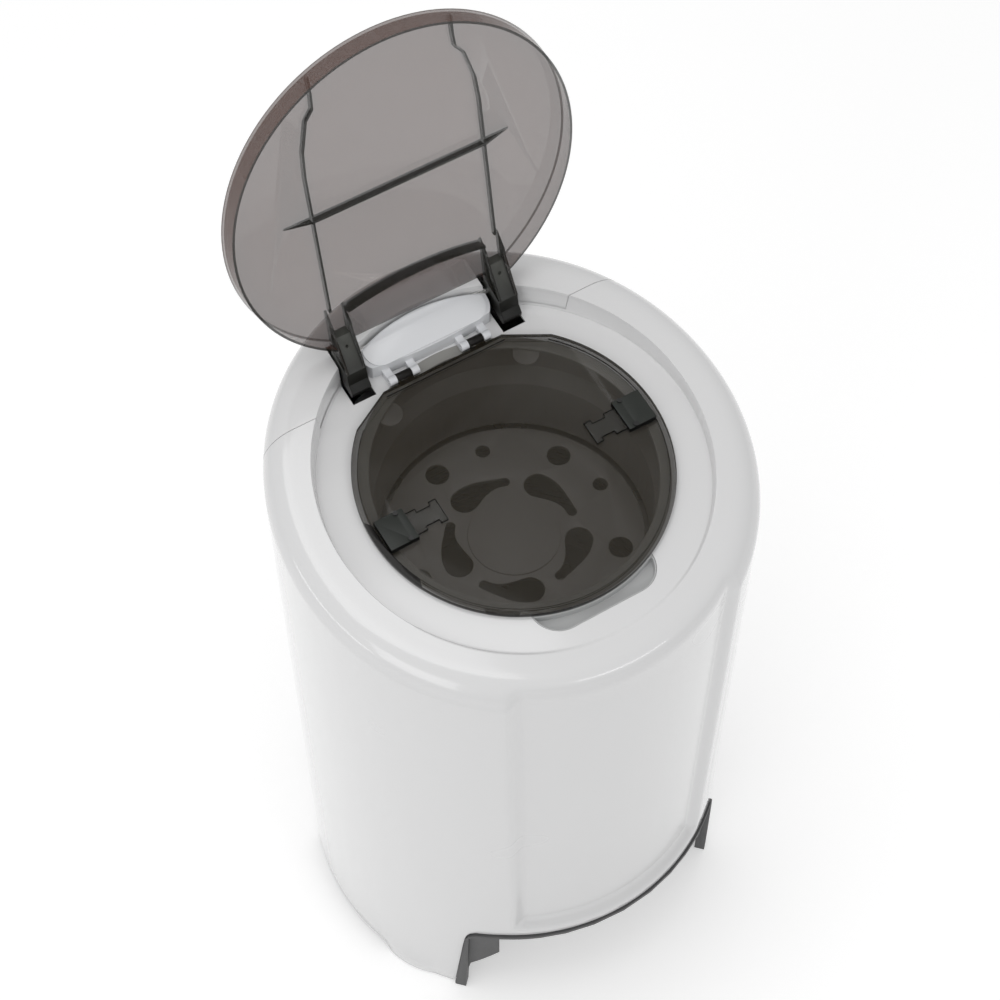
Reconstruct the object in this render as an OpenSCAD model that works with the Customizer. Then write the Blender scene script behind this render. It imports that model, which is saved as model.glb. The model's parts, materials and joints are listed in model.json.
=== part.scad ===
// Laundry spin dryer: a round cabinet with a spinning basket, two lids and a direct-drive motor.
// Millimetres. Front is -Y, up is +Z, and the origin is on the floor under the basket's axis.

/* [Cabinet] */
// Radius of the cabinet wall at the floor
floor_r = 230.9; // [226:0.1:234]
// Radius of the cabinet wall at its shoulder
shoulder_r = 235; // [232:0.1:240]
// How far the back of the wall stands out past that radius
rear_bulge = 9.5; // [4:0.5:18]
// Thickness of the moulded walls
wall_t = 3; // [2.4:0.1:3.6]
// Width of the sloping top ring, from the shoulder to the step
ring_w = 44.5; // [42:0.1:48]
// Height of the sloping top ring above the collar, on the basket's axis
ring_up = 13.4; // [12:0.1:16]
// Slope of the top ring, lowest at the front
ring_tilt = 9.5; // [9:0.1:10.5]
// Radius of the rounded edge between wall and ring
edge_r = 28; // [22:1:32]
// Height of the sunk collar on the basket's axis
collar_h = 717.5; // [714:0.1:720]
// Slope of the sunk collar
collar_tilt = 5.6; // [5:0.1:6]
// Width of the collar, from the step to the mouth
collar_w = 53; // [51:0.1:55]
// Depth of the shallow recess down the front
recess_depth = 10; // [4:0.5:12]
// Height where that recess starts
recess_z = 164; // [162:1:170]
// Half width of the recess in degrees, at its foot
recess_foot_deg = 30; // [26:0.5:32]
// Half width of the recess in degrees, at its top
recess_top_deg = 32.5; // [28:0.5:34]
// Height of the front arch
arch_h = 156; // [152:1:158]
// Height of the gap under the skirt between the legs
skirt_gap = 16; // [8:1:24]
// How far the front legs flare out at the floor
leg_flare = 4; // [2:1:10]
// Gap between the skirt and the floor, taken up by the rubber feet
foot_gap = 1.5; // [1:0.1:2.5]

/* [Rear cover and console] */
// Distance of the cover's seam in front of the console
seam_ahead = 21; // [19:1:26]
// Drop of the cover's lower seam below the collar
seam_drop = 17.5; // [14:0.5:20]
// Half length of the console between the lid arms
console_half = 71; // [68:0.5:71]
// Depth of the console, from its front to the step
console_depth = 40.5; // [39.5:0.5:42]
// Height of the console's front edge above the collar
console_h = 14.5; // [12:0.5:15]
// Slope of the console's face
console_tilt = 21; // [18:1:22]
// Thickness of the plate on the console's face
plate_t = 1.2; // [0.8:0.1:2]

/* [Outer lid] */
// Gap between the closed lid's plate and the step's foot
lid_gap = 8; // [6:0.1:10]
// Thickness of the lid's plate, rim and ribs
lid_t = 2.5; // [2:0.1:3]
// Height of the lid's rim
lid_rim_h = 20; // [18:0.5:20.2]
// How much the rim draws in towards its edge
lid_draft = 2; // [1:0.5:3]
// Height of the closed lid's plate above the collar
lid_up = 20.9; // [20.6:0.1:22]
// Distance of the closed lid's centre behind the basket's axis
lid_y = -2; // [-3:0.5:-1]
// Distance of the lid's pivot inside the step
pivot_in = 14.5; // [13.5:0.5:15.5]
// Height of the lid's pivot above the collar
pivot_up = 17.2; // [16:0.1:18]
// Angle through which the lid opens
lid_open_deg = 104.8; // [100:0.1:106]
// Radius of the pivot pins
pivot_r = 4; // [3:0.1:5]
// Gap between the console and each lid arm
arm_gap = 3; // [2.5:0.5:5]
// Width of each lid arm
arm_w = 21; // [18:0.5:22]
// Half distance between the long ribs
rib_x = 90; // [86:1:92]
// Height of the long ribs
rib_h = 5; // [3:0.5:7]
// Height of the cross rib
cross_rib_h = 8; // [6:0.5:10]
// Height of the pocket wall round the console
pocket_h = 12; // [8:0.5:12.5]

/* [Inner lid] */
// How far the inner lid reaches past the mouth
inner_overlap = 16.5; // [15.5:0.1:17.5]
// Width of the inner lid's thick rim
inner_rim_w = 6; // [5:0.5:8]
// Height of the inner lid's rim above the collar
inner_rim_h = 6; // [5:0.5:6.5]
// Thickness of the inner lid's disc
inner_t = 2.5; // [2:0.1:3]
// Gap between the lid's straight rear edge and the console
inner_chord_gap = 16; // [15.5:0.5:18]
// Half length of that straight edge
inner_chord_half = 66; // [60:1:68]
// Distance of the inner lid's hinge in front of the console
inner_hinge_ahead = 9; // [8.5:0.5:10]
// Height of that hinge above the collar
inner_hinge_up = 5.5; // [5.2:0.1:6]
// Radius of the hinge knuckles
knuckle_r = 4.5; // [4:0.1:5]
// Radius of the hinge pins
hinge_pin_r = 2; // [1.5:0.1:2.5]
// Middle of each hinge tab
tab_x = 40; // [38:0.5:42]
// Width of each hinge tab
tab_w = 16; // [12:0.5:17]

/* [Latches] */
// Distance of each latch housing's inner end inside the mouth
latch_in = 21.5; // [20.5:0.5:23.5]
// Length of each latch housing
latch_l = 30; // [29:0.5:31]
// Width of each latch housing
latch_w = 34; // [30:1:36]
// Height of each latch housing above the inner lid's disc
latch_h = 7; // [6:0.5:8]
// Distance of the latches behind the basket's axis
latch_y = -3; // [-6:1:0]
// Travel of each latch
latch_travel = 7; // [5:0.5:7]

/* [Basket and tub] */
// Gap between the basket and the outer tub's radius
basket_gap = 21; // [16:1:26]
// Thickness of the basket's sheet
basket_t = 1.5; // [1.2:0.1:2]
// Height of the basket's floor
basket_floor = 345; // [340:1:360]
// Drop from the collar to the basket's rim
basket_drop = 117.5; // [110:0.5:125]
// How far the basket's rim reaches inside the mouth
basket_lip = 15.5; // [12.5:0.5:19]
// Clearance of the perforated press disc in the mouth
press_gap = 8.5; // [7.5:0.5:10.5]
// Thickness of the press disc
press_t = 4; // [3:0.5:5]
// Distance of the outer tub's wall inside the step
tub_in = 4.5; // [2.5:0.5:8]
// Thickness of the tub's wall
tub_t = 2.5; // [2:0.1:3]
// Height of the tub's underside
tub_z = 324; // [322:1:328]
// Drop of the tub's top flange below the collar
tub_drop = 29; // [29:0.5:33]

/* [Drive] */
// Height of the base frame's plate
base_z = 145; // [140:1:145]
// Thickness of the base frame's plate
base_t = 10; // [8:0.5:11]
// Radius of the drive shaft
shaft_r = 8; // [7:0.5:9]
// Radius of the motor's stator
stator_r = 68; // [60:1:72]
// Height of the stator
stator_h = 58; // [50:1:60]
// Height of the rubber dampers under the motor plate
damper_h = 30; // [26:1:32]
// Radius on which the dampers stand
damper_ring_r = 104; // [98:1:108]
// Radius of the brake disc
brake_r = 75; // [70:1:78]
// Outer radius of the drain spout
spout_r = 12.5; // [11:0.5:14]
// Inner radius of the drain spout
spout_bore_r = 10; // [8:0.5:10.5]

/* [Hidden] */
$fn = 96;
// Sizes that follow from those above
step_r = shoulder_r - ring_w;
step_foot_r = step_r - 4;
mouth_r = step_r - collar_w;
ring_h = collar_h + ring_up;
console_y = step_r - console_depth;
seam_y = console_y - seam_ahead;
seam_z = collar_h - seam_drop;
lid_r = step_foot_r - lid_gap;
pivot_y = step_r - pivot_in;
arm_x = console_half + arm_gap;
inner_r = mouth_r + inner_overlap;
inner_chord = console_y - inner_chord_gap;
inner_hinge_y = console_y - inner_hinge_ahead;
latch_x = mouth_r - latch_in;
tub_r = step_r - tub_in;
tub_top = collar_h - tub_drop;
basket_r = tub_r - basket_gap;
basket_mouth_r = mouth_r - basket_lip;
press_r = mouth_r - press_gap;
// Gaps between pieces
seat_gap = 0.3;
run_gap = 0.05;
slot_gap = 1.5;

// Heights of the two sloping planes
function ring_z(y) = ring_h + y * tan(ring_tilt);
function collar_z(y) = collar_h + y * tan(collar_tilt);
function clamp01(u) = max(0, min(1, u));
function smooth(u) = clamp01(u) * clamp01(u) * (3 - 2 * clamp01(u));

// ---- cabinet wall: t is the angle in degrees from the front ----
arch_deg = 34;
leg_in_deg = 47.7;
leg_out_deg = 68;
leg_step_deg = 4;
rear_leg_deg = 180 - leg_out_deg;
rear_leg_end_deg = 132;
arch_corner = [[41.3, 3], [43.2, 9], [44.3, 19], [45, 43]];
half_columns = [
    0, 9, 17, 24, 27.5, 29.2, 31, 32.8, 34.5, 38, 41.3, 43.2, 44.3, 45, 47.7, 51, 55, 60, 64,
    68, 72, 79, 86, 94, 102, 108, 112, 117, 122, 127, 132, 136, 144, 153, 162, 171, 180
];
columns = concat(
    half_columns,
    [for (i = [len(half_columns) - 2:-1:1]) 360 - half_columns[i]]
);
function from_front(t) = t > 180 ? 360 - t : t;
// Lower edge of the wall, with the front arch and the four legs
function edge_z(t) = foot_gap + lookup(from_front(t), concat(
    [[0, arch_h - foot_gap], [arch_deg, arch_h - foot_gap]],
    [for (p = arch_corner) [p[0], arch_h - foot_gap - p[1]]],
    [[leg_in_deg, 0], [leg_out_deg, 0], [leg_out_deg + leg_step_deg, skirt_gap]],
    [[rear_leg_deg - leg_step_deg, skirt_gap], [rear_leg_deg, 0]],
    [[rear_leg_end_deg, 0], [rear_leg_end_deg + leg_step_deg, skirt_gap], [180, skirt_gap]]
));
flare_h = 70;
flare_deg = 8;
flare_middle = 62;
function flare(t, z) = leg_flare * pow(clamp01(1 - z / flare_h), 2)
    * max(0, 1 - pow((from_front(t) - flare_middle) / flare_deg, 2));
recess_top_z = ring_h - 50.9;
function recess_half(z) = recess_foot_deg
    + (recess_top_deg - recess_foot_deg) * (z - recess_z) / (recess_top_z - recess_z);
function recess(t, z) = recess_depth * smooth((z - recess_z) / 16)
    * smooth((recess_half(z) + 1.5 - from_front(t)) / 4);
function bulge(t) = cos(t) < 0 ? rear_bulge * cos(t) * cos(t) : 0;
straight_h = ring_h - edge_r;
function plain_r(t, z) = floor_r + (shoulder_r - floor_r) * min(1, z / straight_h) + bulge(t);
function wall_r(t, z) = plain_r(t, z) + flare(t, z) - recess(t, z);
function shoulder_z(t) = ring_z(-plain_r(t, straight_h) * cos(t)) - edge_r;

// Radius and height of each row of points up the wall, over the ring and down to the mouth
low_rows = [0, 0.1, 0.25, 0.45, 0.7, 1];
recess_rows = [6, 11, 17];
middle_z = 420;
edge_rows = [15, 30, 45, 60, 75, 90];
function edge_point(t, a, inset) =
    let (fade = 1 - smooth(a / 75))
    let (full = plain_r(t, straight_h) - fade * recess(t, shoulder_z(t)))
    let (r = full - edge_r + (edge_r - inset) * cos(a))
    [r, ring_z(-r * cos(t)) - edge_r + (edge_r - inset) * sin(a)];
function step_point(t, r, share, inset) =
    let (y = -(r + inset) * cos(t))
    let (low = collar_z(y))
    [r + inset, low + share * max(0, ring_z(y) - low) - inset];
function column(t, inset) = concat(
    [for (k = low_rows)
        let (z = edge_z(t) + (recess_z - edge_z(t)) * k)
        [wall_r(t, z) - inset, z]],
    [for (up = recess_rows) [wall_r(t, recess_z + up) - inset, recess_z + up]],
    [[wall_r(t, middle_z) - inset, middle_z]],
    [for (d = [24, 0]) [wall_r(t, shoulder_z(t) - d) - inset, shoulder_z(t) - d]],
    [for (a = edge_rows) edge_point(t, a, inset)],
    [
        [step_r + 1.5 + inset, ring_z(-(step_r + 1.5 + inset) * cos(t)) - inset],
        step_point(t, step_r, 0.93, inset),
        step_point(t, step_r - 2.5, 0.06, inset),
        step_point(t, step_foot_r, 0, inset),
        [mouth_r, collar_z(-mouth_r * cos(t)) - inset]
    ]
);
function place(p, t) = [p[0] * sin(t), -p[0] * cos(t), p[1]];

module whole_skin() {
    outside = [for (t = columns) column(t, 0)];
    inside = [for (t = columns) column(t, wall_t)];
    rows = len(outside[0]);
    n = len(columns);
    points = concat(
        [for (i = [0:rows - 1]) for (j = [0:n - 1]) place(outside[j][i], columns[j])],
        [for (i = [rows - 1:-1:0]) for (j = [0:n - 1]) place(inside[j][i], columns[j])]
    );
    faces = [
        for (i = [0:2 * rows - 1])
            for (j = [0:n - 1])
                let (a = i * n + j, b = i * n + (j + 1) % n)
                let (d = ((i + 1) % (2 * rows)) * n + j, c = ((i + 1) % (2 * rows)) * n + (j + 1) % n)
                for (f = [[a, d, c], [a, c, b]]) f
    ];
    polyhedron(points = points, faces = faces, convexity = 10);
}

// ---- frames that other pieces are placed in ----
module on_collar(up = 0) {
    translate([0, 0, collar_h])
        rotate([collar_tilt, 0, 0])
            translate([0, 0, up])
                children();
}
pivot_z = collar_z(pivot_y) + pivot_up;
module at_pivot() {
    translate([0, pivot_y, pivot_z])
        children();
}
// The closed lid's own frame, turned open about the pivot
module lid_frame() {
    at_pivot()
        rotate([-lid_open_deg, 0, 0])
            translate([0, lid_y - pivot_y, collar_h + lid_up - pivot_z])
                rotate([collar_tilt, 0, 0])
                    children();
}
module both_sides() {
    children();
    mirror([1, 0, 0])
        children();
}
module along_x(x0, x1, r) {
    translate([x0, 0, 0])
        rotate([0, 90, 0])
            cylinder(r = r, h = x1 - x0);
}
// A flat outline in Y and Z, drawn out along X
module slab_x(x0, x1, outline) {
    translate([x0, 0, 0])
        rotate([90, 0, 90])
            linear_extrude(x1 - x0)
                polygon(outline);
}
module ring(r_out, r_in, h) {
    difference() {
        cylinder(r = r_out, h = h);
        translate([0, 0, -1])
            cylinder(r = r_in, h = h + 2);
    }
}
module round_rect(x, y0, y1, r) {
    translate([-x + r, y0])
        square([2 * (x - r), y1 - y0]);
    translate([-x, y0 + r])
        square([2 * x, y1 - y0 - 2 * r]);
    for (sx = [-1, 1])
        for (y = [y0 + r, y1 - r])
            translate([sx * (x - r), y])
                circle(r = r);
}

// ---- rear cover, arm slots and console ----
cover_r = step_r - 2;
cover_reach = shoulder_r + 40;
cover_h = 120;
pan_r = step_foot_r - 1.2;
pan_reach = 60;
module cover_block() {
    difference() {
        translate([-cover_reach, seam_y, seam_z])
            cube([2 * cover_reach, shoulder_r, cover_h]);
        translate([0, 0, seam_z - 1])
            cylinder(r = cover_r, h = cover_h + 2);
    }
}
slot_front = pivot_y - 38.5;
slot_back = pivot_y + 14;
slot_in = console_half + seat_gap;
pin_end = arm_x + arm_w + 1;
module arm_slots() {
    both_sides()
        translate([slot_in, slot_front, seam_z])
            cube([arm_x + arm_w + slot_gap - slot_in, slot_back - slot_front, 110]);
}
console_z = collar_z(console_y) + console_h;
console_corner_r = 17;
front_arc_r = 480;
// The console stops just short of the step's foot
console_back = step_foot_r - 0.5;
module console_outline(grow = 0) {
    intersection() {
        round_rect(console_half + grow, console_y - grow, console_back + 4, console_corner_r);
        circle(r = console_back + grow);
        translate([0, console_y + front_arc_r])
            circle(r = front_arc_r + grow, $fn = 180);
    }
}
cup_half = 66;
cup_y = inner_r + 12;
cup_in_r = inner_r - 2.5;
cup_depth = 10.5;
module cup_outline(inset) {
    difference() {
        round_rect(cup_half - inset, -cup_y + inset, -100, 28 - inset);
        circle(r = cup_in_r + inset);
    }
}
gland_z = 120;
gland_r = 9;
module gland_axis(back) {
    translate([0, plain_r(180, gland_z) - back, gland_z])
        rotate([-90, 0, 0])
            children();
}

// The collar is a pan of its own: it ends just inside the step's foot, and at the back on the cover
module pan_block() {
    translate([0, 0, seam_z - pan_reach]) {
        cylinder(r = pan_r, h = 2 * pan_reach);
        intersection() {
            cylinder(r = cover_r, h = 2 * pan_reach);
            translate([-shoulder_r, seam_y, 0])
                cube([2 * shoulder_r, shoulder_r, 2 * pan_reach]);
        }
    }
}
module cabinet_shell() {
    color("whitesmoke")
        difference() {
            whole_skin();
            cover_block();
            pan_block();
            arm_slots();
            gland_axis(30)
                cylinder(r = gland_r, h = 60);
        }
}
module sunk_collar() {
    color("whitesmoke")
        difference() {
            intersection() {
                whole_skin();
                pan_block();
            }
            arm_slots();
            on_collar(-20)
                linear_extrude(40)
                    cup_outline(0);
        }
}

module rear_hinge_cover() {
    color("white")
        difference() {
            intersection() {
                whole_skin();
                cover_block();
            }
            arm_slots();
            translate([0, 0, seam_z])
                linear_extrude(110)
                    console_outline(seat_gap);
            at_pivot()
                along_x(-pin_end, pin_end, pivot_r + run_gap);
        }
}

knuckle_gap = 0.4;
knuckle_w = 8;
knuckle_out = tab_x + tab_w / 2 + knuckle_gap;
knuckle_in = tab_x - tab_w / 2 - knuckle_gap - knuckle_w;
module inner_hinge() {
    on_collar()
        translate([0, inner_hinge_y, inner_hinge_up])
            children();
}
module console_knuckle(x) {
    along_x(x, x + knuckle_w, knuckle_r);
    translate([x, 0, -inner_hinge_up + seat_gap])
        cube([knuckle_w, console_y - inner_hinge_y + 6, inner_hinge_up + 2]);
}

console_reach = 100;
hollow_half = console_half - 20;
hollow_w = 22;
module hinge_console() {
    color("white")
        difference() {
            union() {
                difference() {
                    translate([0, 0, collar_z(console_y) - 2])
                        linear_extrude(60)
                            console_outline();
                    translate([0, console_y, console_z])
                        rotate([console_tilt, 0, 0])
                            translate([-console_reach, -console_reach, 0])
                                cube([2 * console_reach, 2 * console_reach, 60]);
                }
                inner_hinge()
                    both_sides() {
                        console_knuckle(knuckle_out);
                        console_knuckle(knuckle_in);
                    }
            }
            on_collar(-20)
                translate([-console_reach, console_y - 50, 0])
                    cube([2 * console_reach, 2 * console_reach, 20]);
            translate([-hollow_half, console_y + wall_t + 3, collar_z(console_y) - 20])
                cube([2 * hollow_half, hollow_w, 20 + console_h - wall_t]);
            at_pivot()
                along_x(-console_half - 1, console_half + 1, pivot_r);
            inner_hinge()
                along_x(-knuckle_out - knuckle_w - 1, knuckle_out + knuckle_w + 1, hinge_pin_r);
        }
}

plate_side = 4;
plate_low = 2;
plate_high = 37;
plate_corner_r = 17;
module console_plate() {
    color("white")
        intersection() {
            translate([0, console_y, console_z])
                rotate([console_tilt, 0, 0])
                    linear_extrude(plate_t)
                        round_rect(console_half - plate_side, plate_low, plate_high, plate_corner_r);
            cylinder(r = console_back - 1.5, h = 2 * console_z);
        }
}

module finger_cup() {
    color("slategray")
        on_collar(-cup_depth)
            difference() {
                linear_extrude(cup_depth - 0.2)
                    cup_outline(0.2);
                translate([0, 0, 2])
                    linear_extrude(cup_depth)
                        cup_outline(2);
            }
}

// ---- funnel from the mouth to the basket ----
funnel_t = 2.5;
basket_top = collar_h - basket_drop;
funnel_z = basket_top + 6;
funnel_low_r = press_r + 4.5;
funnel_neck_z = tub_top - 16;
funnel_top_r = mouth_r + 9;
tongue_deg = [54, 121.5];
tongue_half = 13;
module collar_funnel() {
    color("gray") {
        difference() {
            rotate_extrude()
                polygon([
                    [funnel_low_r, funnel_z], [funnel_low_r + funnel_t, funnel_z],
                    [funnel_low_r + 1 + funnel_t, funnel_neck_z],
                    [funnel_top_r + funnel_t, tub_top],
                    [funnel_top_r + funnel_t, collar_h + 40], [funnel_top_r, collar_h + 40],
                    [funnel_top_r, tub_top], [funnel_low_r + 1, funnel_neck_z]
                ]);
            on_collar(-wall_t)
                translate([-shoulder_r, -shoulder_r, 0])
                    cube([2 * shoulder_r, 2 * shoulder_r, 90]);
        }
        on_collar(-wall_t - 3)
            for (a = tongue_deg)
                rotate([0, 0, a]) {
                    translate([mouth_r - 3, -tongue_half, 0])
                        cube([funnel_top_r - mouth_r + 4, 2 * tongue_half, funnel_t]);
                    translate([mouth_r - 3, 0, 0])
                        cylinder(r = tongue_half, h = funnel_t);
                }
    }
}

// ---- base ----
base_r = plain_r(0, base_z) - wall_t - 1.2;
leg_r = base_r - 0.6;
leg_t = 4.5;
gusset_deg = 35;
gusset_z = 97;
gusset_drop = 42;
strip_deg = 43.2;
strip_foot_deg = 45.6;
panel_end_deg = 63;
foot_deg = [56, 122];
foot_ring_r = floor_r - 34.9;
post_r = 17;
foot_h = 12;
module foot_spots() {
    both_sides()
        for (a = foot_deg)
            rotate([0, 0, a - 90])
                translate([foot_ring_r, 0, 0])
                    children();
}
// Curved leg panel between two angles, with a gusset on its arch side
module leg_panel() {
    inner_x = leg_r * sin(gusset_deg);
    strip_x = leg_r * sin(strip_deg);
    foot_x = leg_r * sin(strip_foot_deg);
    end_x = leg_r * sin(panel_end_deg);
    intersection() {
        translate([0, 0, foot_gap])
            ring(leg_r, leg_r - leg_t, base_z - foot_gap + 1);
        rotate([90, 0, 0])
            linear_extrude(leg_r + 5)
                polygon([
                    [inner_x, base_z + 1], [inner_x, gusset_z], [strip_x, gusset_z - gusset_drop],
                    [foot_x, foot_gap - 1], [end_x, foot_gap - 1], [end_x, base_z + 1]
                ]);
    }
}
// A trim that stands out a little under the arch's edge and down the legs beside it
trim_r = plain_r(0, arch_h) + 2.5;
trim_in_r = base_r - 5;
trim_h = 5.5;
trim_foot_deg = 44.3;
trim_gap_deg = 0.12;
trim_half = [
    for (t = half_columns) if (t < leg_in_deg) t,
    leg_in_deg - 1.2, leg_in_deg - 0.3
];
trim_columns = concat([for (i = [len(trim_half) - 1:-1:1]) -trim_half[i]], trim_half);
function trim_top(t) = edge_z(abs(t) + trim_gap_deg) - seat_gap;
function trim_low(t) = abs(t) < trim_foot_deg ? trim_top(t) - trim_h : foot_gap;
module arch_trim() {
    n = len(trim_columns);
    points = [
        for (t = trim_columns)
            for (p = [[trim_in_r, trim_low(t)], [trim_r, trim_low(t)],
                      [trim_r, trim_top(t)], [trim_in_r, trim_top(t)]])
                place(p, t)
    ];
    sides = [
        for (i = [0:n - 2])
            for (j = [0:3])
                let (a = 4 * i + j, b = 4 * i + (j + 1) % 4)
                for (f = [[a, b + 4, a + 4], [a, b, b + 4]]) f
    ];
    last = 4 * n - 4;
    ends = [[0, 2, 1], [0, 3, 2], [last, last + 1, last + 2], [last, last + 2, last + 3]];
    polyhedron(points = points, faces = concat(sides, ends));
}
damper_deg = [30, 150, 270];
stud_r = 4;
column_deg = [0, 120, 240];
column_ring_r = tub_r - 26;
drain_y = -(tub_r - 14);
capacitor_at = [-136, -52];
capacitor_r = 20;
capacitor_h = 76;
clip_t = 3;
clip_h = 24;
module base_frame() {
    color("dimgray")
        difference() {
            union() {
                translate([0, 0, base_z])
                    cylinder(r = base_r, h = base_t);
                arch_trim();
                both_sides()
                    leg_panel();
                foot_spots()
                    translate([0, 0, foot_gap + 4])
                        cylinder(r = post_r, h = base_z - foot_gap - 3);
            }
            foot_spots()
                translate([0, 0, -1])
                    cylinder(r = post_r - 3, h = base_z - 3);
            for (a = damper_deg)
                rotate([0, 0, a])
                    translate([damper_ring_r, 0, base_z - 1])
                        cylinder(r = stud_r + 0.2, h = base_t + 2);
            translate([0, drain_y, base_z - 1])
                cylinder(r = spout_r + 0.5, h = base_t + 2);
        }
}

module rubber_feet() {
    color("black")
        foot_spots() {
            cylinder(r = post_r - 1, h = foot_gap + 4);
            cylinder(r = post_r - 3, h = foot_gap + foot_h);
        }
}

module cord_gland() {
    color("black")
        gland_axis(wall_t + 6)
            difference() {
                union() {
                    cylinder(r = gland_r, h = wall_t + 7);
                    translate([0, 0, wall_t + 6.4])
                        cylinder(r = gland_r + 4, h = 2.4);
                    cylinder(r = gland_r + 3, h = 4);
                }
                translate([0, 0, -1])
                    cylinder(r = 4, h = 30);
            }
}

// ---- outer lid ----
module lid_pivot_pins() {
    color("silver")
        at_pivot()
            both_sides()
                along_x(console_half - 18, pin_end, pivot_r);
}

// A point on the open lid, from s along the plate and h off it, as Y and Z from the pivot
lid_lean = lid_open_deg - 90 - collar_tilt;
lid_mid = let (dy = lid_y - pivot_y, dz = collar_h + lid_up - pivot_z)
    [dy * cos(lid_open_deg) + dz * sin(lid_open_deg),
     -dy * sin(lid_open_deg) + dz * cos(lid_open_deg)];
function on_lid(s, h) = [
    lid_mid[0] + s * sin(lid_lean) - h * cos(lid_lean),
    lid_mid[1] + s * cos(lid_lean) + h * sin(lid_lean)
];
pocket_s = lid_y + 39 - console_y;
cheek_s = pocket_s + 5;
cheek_top = [-2, 54];
cheek_bend = [-3, 48];
cheek_low = [-26, 10];
toe = [[-28.5, -3], [-34.5, -10], [-33.5, -16], [-30, -18.5]];
hub_r = 11;
chord_s = lid_y - console_y - 6;
plate_edge_s = -sqrt(lid_r * lid_r - arm_x * arm_x);
arm_foot_s = plate_edge_s + 4;
rib_line = [
    [rib_x - 19, 170], [rib_x - 19, 139], [rib_x - 18, 125], [rib_x - 10, 115], [rib_x - 2, 83],
    [rib_x, 56], [rib_x, -110]
];
rib_path = [for (p = rib_line) [p[0], min(p[1], sqrt(pow(lid_r - 4, 2) - p[0] * p[0]))]];
function ribbon(path, t) = concat(
    [for (p = path) [p[0] - t / 2, -p[1]]],
    [for (i = [len(path) - 1:-1:0]) [path[i][0] + t / 2, -path[i][1]]]
);
cross_half = 118;
pocket_sag = 9;
pocket_r = (arm_x * arm_x + pocket_sag * pocket_sag) / (2 * pocket_sag);
module lid_below(h) {
    translate([0, 0, -h])
        children();
}
module outer_lid() {
    color("dimgray", 0.6)
        union() {
            lid_frame() {
                difference() {
                    lid_below(lid_rim_h)
                        cylinder(r1 = lid_r - lid_draft, r2 = lid_r, h = lid_rim_h);
                    lid_below(lid_rim_h + 0.01)
                        cylinder(r1 = lid_r - lid_draft - lid_t, r2 = lid_r - lid_t, h = lid_rim_h - lid_t);
                    translate([-arm_x - arm_w, 60, -lid_rim_h - 1])
                        cube([2 * (arm_x + arm_w), lid_r, lid_rim_h + 1 - lid_t]);
                    translate([-arm_x, -chord_s, -lid_rim_h - 1])
                        cube([2 * arm_x, 40, lid_rim_h + 2]);
                }
                lid_below(lid_t + rib_h)
                    both_sides()
                        linear_extrude(rib_h + 0.5)
                            polygon(ribbon(rib_path, lid_t));
                translate([0, -5, -lid_t])
                    rotate([90, 0, 0])
                        linear_extrude(lid_t)
                            polygon([
                                [-cross_half, 0], [-rib_x, -cross_rib_h], [rib_x, -cross_rib_h],
                                [cross_half, 0], [cross_half, 0.5], [-cross_half, 0.5]
                            ]);
                lid_below(lid_t + pocket_h)
                    intersection() {
                        translate([0, -pocket_s - pocket_sag + pocket_r, 0])
                            ring(pocket_r + lid_t, pocket_r, pocket_h + 0.5);
                        translate([-arm_x - 1, 90, 0])
                            cube([2 * arm_x + 2, 40, 20]);
                    }
            }
            at_pivot()
                both_sides()
                    for (x = [arm_x, arm_x + arm_w - lid_t])
                        slab_x(x, x + lid_t, [
                            on_lid(cheek_s, lid_t - 0.5), cheek_top, cheek_bend, cheek_low,
                            on_lid(arm_foot_s, lid_t), on_lid(plate_edge_s + 12, lid_t - 0.5)
                        ]);
        }
}

arm_screw_r = 1.5;
module lid_arm() {
    at_pivot()
        difference() {
            union() {
                slab_x(arm_x, arm_x + arm_w, concat(
                    [on_lid(arm_foot_s, lid_t), cheek_low], toe, [[-4, -hub_r + 1], [4, 0]]
                ));
                along_x(arm_x, arm_x + arm_w, hub_r);
                slab_x(arm_x + lid_t, arm_x + arm_w - lid_t, [
                    cheek_low,
                    on_lid(arm_foot_s, lid_t),
                    on_lid(plate_edge_s + 24, lid_t + seat_gap),
                    on_lid(plate_edge_s + 24, lid_t + 11),
                    cheek_low + [3, 3]
                ]);
            }
            along_x(arm_x - 1, arm_x + arm_w + 1, pivot_r + run_gap);
            arm_screw_place()
                translate([0, 0, -8])
                    cylinder(r = arm_screw_r, h = 20);
        }
}
module arm_screw_place() {
    head_y = on_lid(plate_edge_s + 16, lid_t + 13)[0];
    head_z = on_lid(plate_edge_s + 16, 0)[1];
    translate([arm_x + arm_w / 2, head_y, head_z])
        rotate([90 - lid_lean, 0, 0])
            children();
}
module left_lid_arm() {
    color("black")
        mirror([1, 0, 0])
            lid_arm();
}
module right_lid_arm() {
    color("black")
        lid_arm();
}
module lid_arm_screws() {
    color("silver")
        both_sides()
            at_pivot()
                arm_screw_place() {
                    translate([0, 0, -8])
                        cylinder(r = arm_screw_r, h = 9);
                }
}

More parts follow.
